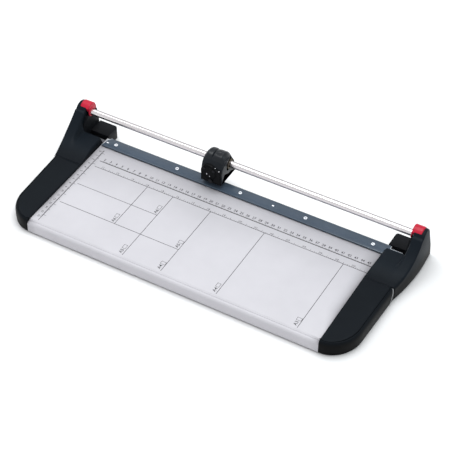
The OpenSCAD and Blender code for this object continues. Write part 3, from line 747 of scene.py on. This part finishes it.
def head_shell(name):
    """Head casting: a (y, z) loop, flat in front and below with a round crown, carried
    along x with rounded ends and sunken shoulders. The rail's bore, an arched pocket round
    it on the right, the blade's slot and the rollers' pockets are cut out."""
    low = HEAD_LO[2] + 2.2 - 8        # below everything that is cut
    floor_z = 29.3                    # just clears the decks
    loop = np.concatenate([
        [[FACE_Y, floor_z], [FACE_Y, 38], [FACE_Y, 47]],
        arc((CROWN_Y, CROWN_Z), CROWN_R, 178, 2, 48),
        [[BACK_Y - 1, RAIL_Z - 12], [BACK_Y, floor_z + 6], [BACK_Y, floor_z]]])
    loop = resample(np.concatenate([loop, loop[:1]]), 141)[:-1]
    ends = (HEAD_LO[0], HEAD_HI[0])
    sections = rounded_bar(loop, ends, 1.5)
    middle = len(sections) // 2
    stations = 42
    many = np.linspace(ends[0] + 1.6, ends[1] - 1.6, stations)[:, None, None]
    size = (stations, len(loop))
    flat = np.concatenate([np.broadcast_to(many, (*size, 1)),
                           np.broadcast_to(sections[middle, :, 1:], (*size, 2))], 2)
    sections = np.concatenate([sections[:middle], flat, sections[middle + 1:]])
    sections[..., 2] -= shoulder_drop(sections[..., 0] - HEAD_X, sections[..., 2])
    piece = make_piece(name, [closed_loft(sections)], head_black, "head", ["head_body"],
                       sharp=38)
    circle = np.radians(np.linspace(0, 360, 49)[:-1])
    bore = np.stack([RAIL_Y + BUSH_R * np.cos(circle), RAIL_Z + BUSH_R * np.sin(circle)], -1)
    pocket_r, pocket_half, pocket_low = 11, 8.5, RAIL_Z - 7
    pocket = np.concatenate([arc((RAIL_Y, RAIL_Z), pocket_r, -28, 208, 40),
                             [[RAIL_Y - pocket_half, pocket_low],
                              [RAIL_Y + pocket_half, pocket_low]]])
    blade_z = (DISC_LO[2] + DISC_HI[2]) / 2
    blade_r = (DISC_HI[2] - DISC_LO[2]) / 2 + 0.8
    slot = np.concatenate([arc((HEAD_X, blade_z), blade_r, 0, 180, 32),
                           [[HEAD_X - blade_r, low], [HEAD_X + blade_r, low]]])

    def along(axis, outline, start, end):
        spots = [np.insert(outline, axis, value, axis=1) for value in (start, end)]
        return closed_loft(np.stack(spots))

    cutters = [along(0, bore, ends[0] - 2, ends[1] + 2),
               along(0, pocket, ends[1] - 4.5, ends[1] + 2),
               along(1, slot, DISC_LO[1] - 4, DISC_HI[1] + 0.8)]
    for way in (-1, 1):
        x = HEAD_X + way * (HEAD_X - (ROLLER_LO[0] + ROLLER_HI[0]) / 2)
        r = (ROLLER_HI[0] - ROLLER_LO[0]) / 2 + 0.6
        box = np.array([[x - r, low], [x + r, low], [x + r, ROLLER_HI[2] + 0.9],
                        [x - r, ROLLER_HI[2] + 0.9]])
        cutters.append(along(1, box, ROLLER_LO[1] - 0.5, ROLLER_HI[1] + 0.5))
    cut_out(piece, cutters)
    return piece


def grip_lobes(name):
    """Palm grip over the crown: an angle by x grid whose radius is the crown's plus two
    lobes. Each lobe is a root of one minus a fourth power across x, faded in and out along
    the arc, and the right lobe has an oval thumb dimple."""
    angle = np.radians(np.linspace(150, 14, 61))[:, None]
    x = np.linspace(-HEAD_HALF + 1.2, HEAD_HALF - 2.4, 69)[None, :]
    notch = -4.0
    left_c, left_h = (notch + x[0, 0]) / 2, (notch - x[0, 0]) / 2 - 0.2
    right_c, right_h = (notch + x[0, -1]) / 2, (x[0, -1] - notch) / 2 - 0.2
    lobe = np.maximum(1 - ((x - left_c) / left_h) ** 4, 0) ** 0.5
    lobe = np.maximum(lobe, np.maximum(1 - ((x - right_c) / right_h) ** 4, 0) ** 0.5)
    turn = np.degrees(angle)
    fade = smooth_step((turn - 14) / 30) * smooth_step((150 - turn) / 46)
    dimple = np.exp(-(((x - right_c) / 4.6) ** 2 + ((turn - 92) / 11) ** 2) ** 2)
    height = (1.9 * lobe - 1.1 * dimple) * fade
    radius = CROWN_R + 0.2 + height - 1.0 * (1 - fade)
    shape = np.broadcast_arrays(HEAD_X + x, CROWN_Y + radius * np.cos(angle),
                                CROWN_Z + radius * np.sin(angle))
    points = np.stack(shape, -1)
    points[..., 2] -= shoulder_drop(points[..., 0] - HEAD_X, points[..., 2])
    return make_piece(name, [sheet_part(points)], grip_black, "head",
                      ["head_grip"], sharp=60, wall=0.9)


def blade_cover(name):
    """Front cover of the head: an outline that goes up the left side, round the disc and
    level to the right side, carried towards the front through insets that round its edge
    and cut a fine rim line; a turned disc with two rings stands on it."""
    half = HEAD_HALF - 0.5
    disc_x, disc_z, disc_r = -3.2, 46.8, 13.4
    low = 29.5
    around = arc((disc_x, disc_z), disc_r, 178, 52, 30)
    right = bezier(around[-1], around[-1] + (3.4, -2.4), (half - 6, 54.5), (half - 2, 54.2), 12)
    corner = arc((half - 2.5, 51.7), 2.5, 78, 0, 6)
    loop = np.concatenate([[[half, low], [-half, low], [-half, disc_z - 2]], around, right[1:],
                           corner])
    loop = resample(np.concatenate([loop, loop[:1]]), 141)[:-1]
    middle = np.array([0, 44.0])
    reach = np.linalg.norm(loop - middle, axis=1)[:, None]
    steps = [(-9.0, 0), (-15.8, 0), (-16.9, 0.05), (-17.35, 0.25), (-17.6, 0.65),
             (-17.6, 1.6), (-17.35, 1.75), (-17.35, 2.1), (-17.6, 2.25)]
    sections = []
    for y, inset in steps:
        flat = middle + (loop - middle) * (1 - inset / reach)
        sections.append(np.c_[HEAD_X + flat[:, 0], np.full(len(flat), CUT_Y + y), flat[:, 1]])
    plate = closed_loft(np.stack(sections))
    at = (HEAD_X + disc_x, CUT_Y, disc_z)
    disc = ring_part(at, "y", [(0.01, -17.72), (4.4, -17.72), (4.6, -17.55), (5.0, -17.55),
                               (5.2, -17.78), (10.6, -17.86), (10.9, -17.6), (11.5, -17.6),
                               (11.8, -17.9), (12.3, -17.8), (12.6, -17.4), (12.6, -17.0),
                               (0.01, -17.0)])
    return make_piece(name, [plate, disc], cover_black, "head", ["blade_cover"],
                      sharp=35)


def sight_rivets(name):
    """Small bright domed rivets on the head's front: each is a quarter circle turned about y."""
    parts = []
    turn = np.radians(np.linspace(0, 90, 6))
    for x, z, r in ((13.4, 55.5, 0.75), (7.4, 59.4, 0.6), (-6.4, 43.6, 1.0), (-1.8, 40.7, 0.7)):
        dome = [(r * math.cos(a) + 0.001, -17.85 - 0.12 * math.sin(a)) for a in turn]
        parts.append(ring_part((HEAD_X + x, CUT_Y, z), "y", dome + [(0.001, -17.4), (r, -17.4)], 20))
    return make_piece(name, parts, bright, "head", (), sharp=50)


# ------------------------------------------------------------ clamp pins
PIN_LO, PIN_HI = corners("clamp_guide_pins")
PIN_R = (PIN_HI[1] - PIN_LO[1]) / 2
PIN_Y = (PIN_HI[1] + PIN_LO[1]) / 2
PIN_COUNT = 5
PIN_PLACES = np.linspace(PIN_LO[0] + PIN_R, PIN_HI[0] - PIN_R, PIN_COUNT)
TONGUE_FROM = 21.1                    # from the last pin head to the strip's narrow tongue


def guide_pins(name, hollow_name):
    """Guide pins: bright ring heads, a low rounded section turned about each pin, with a
    grey hollow disc inside and the shank below."""
    r, bore, shank_r = PIN_R, 1.3, 1.4
    base, top = STRIP_HI[2] + 0.12, PIN_HI[2]
    rings = [ring_part((x, PIN_Y, 0), "z",
                       [(bore, base), (r - 0.15, base), (r, base + 0.2), (r - 0.05, top - 0.2),
                        (r - 0.3, top), (bore + 0.2, top), (bore, top - 0.15)], 36)
             for x in PIN_PLACES]
    hollows = [ring_part((x, PIN_Y, 0), "z",
                         [(0.01, PIN_LO[2]), (shank_r, PIN_LO[2]), (shank_r, top - 0.45),
                          (1.0, top - 0.4), (0.7, top - 0.55), (0.01, top - 0.6)], 24)
               for x in PIN_PLACES]
    make_piece(name, rings, collar_white, "base", ["clamp_guide_pins"], sharp=50)
    make_piece(hollow_name, hollows, pin_grey, "base", (), sharp=50)


def clamp_strip(name):
    """Clear clamp strip: its outline in plan, with a slanted back corner on the left and a
    tongue on the right, carried upwards through insets that bevel the top and bottom edges;
    bored round the guide pins."""
    x0, x1 = STRIP_LO[0], STRIP_HI[0]
    y0, y1 = STRIP_LO[1], STRIP_HI[1]
    back_x = PIN_HI[0] + TONGUE_FROM
    tongue = np.array([back_x, y1 - 6])
    nip = 0.8                         # small corner cuts at the right end
    loop = np.concatenate([
        [[x0, y0], [x1 - nip, y0], [x1, y0 + nip], [x1, tongue[1] - nip],
         [x1 - nip, tongue[1]]],
        arc(tongue + (2, 2), 2, 270, 180, 8), [[back_x, y1 - 1], [back_x - 1, y1]],
        [[x0 + 7.5, y1], [x0 + 3, y1 - 4.5]]])
    middle = loop.mean(0)
    z0, z1 = STRIP_LO[2], STRIP_HI[2]
    sections = []
    for z, inset in ((z0, 0.25), (z0 + 0.25, 0), (z1 - 0.3, 0), (z1 - 0.08, 0.12), (z1, 0.3)):
        drawn = loop + np.sign(middle - loop) * (inset, inset)
        sections.append(np.c_[drawn, np.full(len(loop), z)])
    piece = make_piece(name, [closed_loft(np.stack(sections))], strip_clear, "clamp",
                       ["clamp_strip"], sharp=30)
    bore, around = 1.9, 32
    circle = np.radians(np.linspace(0, 360, around + 1)[:-1])
    cutters = []
    for x in PIN_PLACES:
        spot = np.stack([x + bore * np.cos(circle), PIN_Y + bore * np.sin(circle)], -1)
        cutters.append(closed_loft(np.stack([np.c_[spot, np.full(around, z0 - 1)],
                                             np.c_[spot, np.full(around, z1 + 1)]])))
    cut_out(piece, cutters)
    return piece


def clamp_coils(name):
    """Springs under the clamp strip: a round wire swept along a helix about each guide pin."""
    lo, hi = corners("clamp_springs")
    wire, turns, steps = 0.3, 3, 28
    coil_r = (hi[1] - lo[1]) / 2 - wire
    first, last = lo[0] + coil_r + wire, hi[0] - coil_r - wire
    height = hi[2] - lo[2] - 0.05
    t = np.linspace(0, 1, turns * steps + 1)[:, None]
    a = 2 * np.pi * turns * t
    b = np.linspace(0, 2 * np.pi, 9)[None, :-1]
    reach = coil_r + wire * np.cos(b)
    z = lo[2] + wire + (height - 2 * wire) * t + wire * np.sin(b)
    y = (lo[1] + hi[1]) / 2
    parts = [closed_loft(np.stack([x + reach * np.cos(a), y + reach * np.sin(a), z], -1))
             for x in np.linspace(first, last, PIN_COUNT)]
    piece = make_piece(name, parts, bright, "base", ["clamp_springs"], sharp=60)
    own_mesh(piece)
    return piece


def strip_studs(name):
    """Low oval studs of the clamp strip, one at its left end and one midway between two
    pins: a quarter circle turned about z and stretched along the strip."""
    turn = np.radians(np.linspace(0, 90, 6))
    top = STRIP_HI[2]
    r, stretch = 1.1, 1.8
    dome = [(r * math.cos(a) + 0.001, top + 0.1 + 0.3 * math.sin(a)) for a in turn]
    points, faces = ring_part((0, 0, 0), "z", [(0.001, top - 0.2), (r, top - 0.2)] + dome, 32)
    pins = np.linspace(PIN_LO[0], PIN_HI[0], PIN_COUNT)
    spots = ((STRIP_LO[0] + 5.5, PIN_Y - 1, 0), ((pins[2] + pins[3]) / 2, PIN_Y, 0))
    return make_piece(name, [(points * (stretch, 1, 1) + spot, faces) for spot in spots],
                      collar_white, "clamp", (), sharp=50)


def lit_edges(name):
    """Painted highlight where light leaves the clear strip's edges: thin upright ribbons in a pale
    colour carried round its left end and along the right tongue."""
    x0, x1 = STRIP_LO[0], STRIP_HI[0]
    y0, y1 = STRIP_LO[1], STRIP_HI[1]
    back_x = PIN_HI[0] + TONGUE_FROM
    left = np.array([[x0 + 0.3, y0 + 0.3], [x0 + 3.1, y1 - 4.5], [x0 + 7.5, y1 - 0.15]])
    right = np.array([[back_x + 0.15, y1 - 0.8], [back_x + 0.15, y1 - 5.2],
                      [back_x + 2, y1 - 6.15], [x1 - 0.5, y1 - 6.15]])
    parts = []
    for path in (left, right):
        count = 40
        path = resample(path, count)
        rows = [np.c_[path, np.full(count, z)] for z in (STRIP_LO[2] + 0.4, STRIP_HI[2] + 0.03)]
        parts.append(sheet_part(np.stack(rows)))
    return make_piece(name, parts, lit_edge, "clamp", (), wall=0.45)


def rail(name):
    """Round rail: a ring section turned about x and carried from end to end, with small
    lead-in cones."""
    r = (RAIL_HI[2] - RAIL_LO[2]) / 2
    x0, x1 = RAIL_LO[0], RAIL_HI[0]
    inner = r - 1.2
    profile = [(inner, x0), (r - 0.4, x0), (r, x0 + 0.4), (r, x1 - 0.4), (r - 0.4, x1), (inner, x1)]
    part = ring_part((0, RAIL_Y, RAIL_Z), "x", profile, 72)
    return make_piece(name, [part], chrome, "base", ["rail_tube"], sharp=35)


# ------------------------------------------------------------ printed scales
INK_Z = TOP + 0.03
LEFT_X = TABLE_LO[0] + 3.5             # zero of the scales, a little in from the table's end


def bar_quads(bars):
    """Flat quads just above the table from rows of x0, y0, x1, y1, with x from the table's
    left end and y from the cutting edge."""
    b = np.asarray(bars, float)
    x0, y0, x1, y1 = b.T
    corner = np.stack([np.stack([x0, y0], -1), np.stack([x1, y0], -1),
                       np.stack([x1, y1], -1), np.stack([x0, y1], -1)], 1)
    points = np.concatenate([corner + (LEFT_X, CUT_Y), np.full((len(b), 4, 1), INK_Z)], 2)
    return points.reshape(-1, 3), np.arange(4 * len(b)).reshape(-1, 4).tolist()


def line_bars(fixed, start, end, thick, upright):
    """Bar of a straight line at one fixed x or y."""
    h = thick / 2
    return (fixed - h, start, fixed + h, end) if upright else (start, fixed - h, end, fixed + h)


def tick_bars(first, step, count, foot, lengths, thick, upright):
    """Bars of a row of ticks. lengths is a list that repeats along the row."""
    k = np.arange(count)
    at = first + step * k
    tall = foot + np.resize(np.asarray(lengths, float), count)
    h = thick / 2
    lo, hi = np.minimum(foot, tall), np.maximum(foot, tall)
    if upright:
        return np.stack([at - h, lo, at + h, hi], -1)
    return np.stack([lo, at - h, hi, at + h], -1)


def figures(texts, size, turn=0.0, bold=0.07):
    """Part made of plain figures. texts holds (string, x, y) of each string's middle; turn
    is in degrees."""
    points, faces, start = [], [], 0
    c, q = math.cos(math.radians(turn)), math.sin(math.radians(turn))
    for body, x, y in texts:
        curve = bpy.data.curves.new("figure", "FONT")
        curve.body = body
        curve.size = size
        curve.resolution_u = 2
        curve.offset = bold
        curve.align_x, curve.align_y = "CENTER", "CENTER"
        holder = bpy.data.objects.new("figure", curve)
        bpy.context.scene.collection.objects.link(holder)
        mesh = bpy.data.meshes.new_from_object(holder)
        flat = np.empty(3 * len(mesh.vertices), np.float32)
        mesh.vertices.foreach_get("co", flat)
        flat = flat.reshape(-1, 3).astype(float)
        turned = flat[:, :2] @ np.array([[c, q], [-q, c]]) + (LEFT_X + x, CUT_Y + y)
        points.append(np.c_[turned, np.full(len(flat), INK_Z)])
        faces += [[v + start for v in f.vertices] for f in mesh.polygons]
        start += len(flat)
        bpy.data.objects.remove(holder)
        bpy.data.curves.remove(curve)
        bpy.data.meshes.remove(mesh)
    return np.concatenate(points), faces


def page_icon(x, y, turn_wide):
    """Outline of a small upright or lying page, drawn with four thin bars."""
    w, h = (7.6, 5.6) if turn_wide else (5.6, 7.6)
    t = 0.5
    return [(x, y, x + w, y + t), (x, y + h - t, x + w, y + h),
            (x, y, x + t, y + h), (x + w - t, y, x + w, y + h)]


def table_print(name):
    """Printed scales: straight bars for lines and ticks, and plain figures. The upright
    lines stand at the widths of the standard sheets."""
    cm_y, inch_y, low_y = -48.5, -62.0, -198.0
    half_fold, fold = -106.0, -150.5
    start, end, side_x = 14.3, 455.8, 8
    inch, line, tick = 25.4, 0.75, 0.42
    eighths = [5.0, 1.5, 2.3, 1.5, 3.4, 1.5, 2.3, 1.5]
    bars = [line_bars(cm_y, start, end, 1.0, False), line_bars(inch_y, start, end, line, False),
            line_bars(105, fold, inch_y, line, True), line_bars(half_fold, 13, 148, line, False),
            line_bars(fold, 12.5, 210, 0.8, False), line_bars(side_x, low_y, -26, line, True)]
    bars += [line_bars(x, low_y, inch_y, line, True) for x in (148, 210, 297, 420)]
    bars = [np.asarray(bars),
            tick_bars(20, 1, 436, cm_y, [2.9] + [1.5] * 4 + [2.2] + [1.5] * 4, tick, True),
            tick_bars(inch, inch / 8, 8 * 17 + 1, inch_y, eighths, tick, True),
            tick_bars(-190, 1, 164, side_x, [-2.8] + [-1.5] * 4 + [-2.1] + [-1.5] * 4, 0.36, False),
            tick_bars(-185, inch / 2, 13, side_x, [4.6, 2.6], 0.5, False)]
    labels = [("A6", 100, fold, False), ("A6", 143, half_fold, False), ("A5", 143, low_y, False),
              ("A5", 205, fold, True), ("A4", 205, low_y, True), ("A4", 292, low_y, False),
              ("A3", 415, low_y, True)]
    bars.append(np.asarray([bar for _, x, y, wide in labels
                            for bar in page_icon(x - 3.2, y + 12, wide)]))
    parts = [bar_quads(np.concatenate(bars)),
             figures([(str(k), 10 * k, cm_y + 5.6) for k in range(2, 46)], 5.8),
             figures([(str(k), inch * k + 2.6, inch_y + 3.2) for k in range(1, 18)], 4.2),
             figures([(str(k), 3.2, -30 - 10 * k) for k in range(0, 17)], 4.6, 90),
             figures([(text, x, y + 6.5) for text, x, y, _ in labels], 7.0, 90)]
    return make_piece(name, parts, ink, "base", (), merge=1e-6)


for side, word in ((-1, "left"), (1, "right")):
    front_cover(side, word + "_front_cover_shell")
    rear_cover(side, word + "_rear_cover_shell")
    rail_cap(side, word + "_rail_cap_shell")
    seam_line(side, word + "_seam_line")
    soften(word + "_end_bracket", 1.2)
    soften(word + "_base_plate", 0.3, 1)
table_sheet("table_sheet")
table_print("table_print")
head_shell("head_shell")
grip_lobes("palm_grip")
blade_cover("blade_cover_shell")
sight_rivets("sight_rivets")
guide_pins("guide_pin_heads", "guide_pin_shanks")
clamp_strip("clear_strip")
clamp_coils("clamp_coils")
strip_studs("strip_studs")
lit_edges("strip_lit_edges")
rail("round_rail")

# ------------------------------------------------------------ floor
bpy.ops.mesh.primitive_plane_add(size=12, location=(0, 0, 0))
floor = bpy.context.object
floor.name = "floor"
floor.data.materials.append(material("floor_white", (0.87, 0.87, 0.87), 0.9))
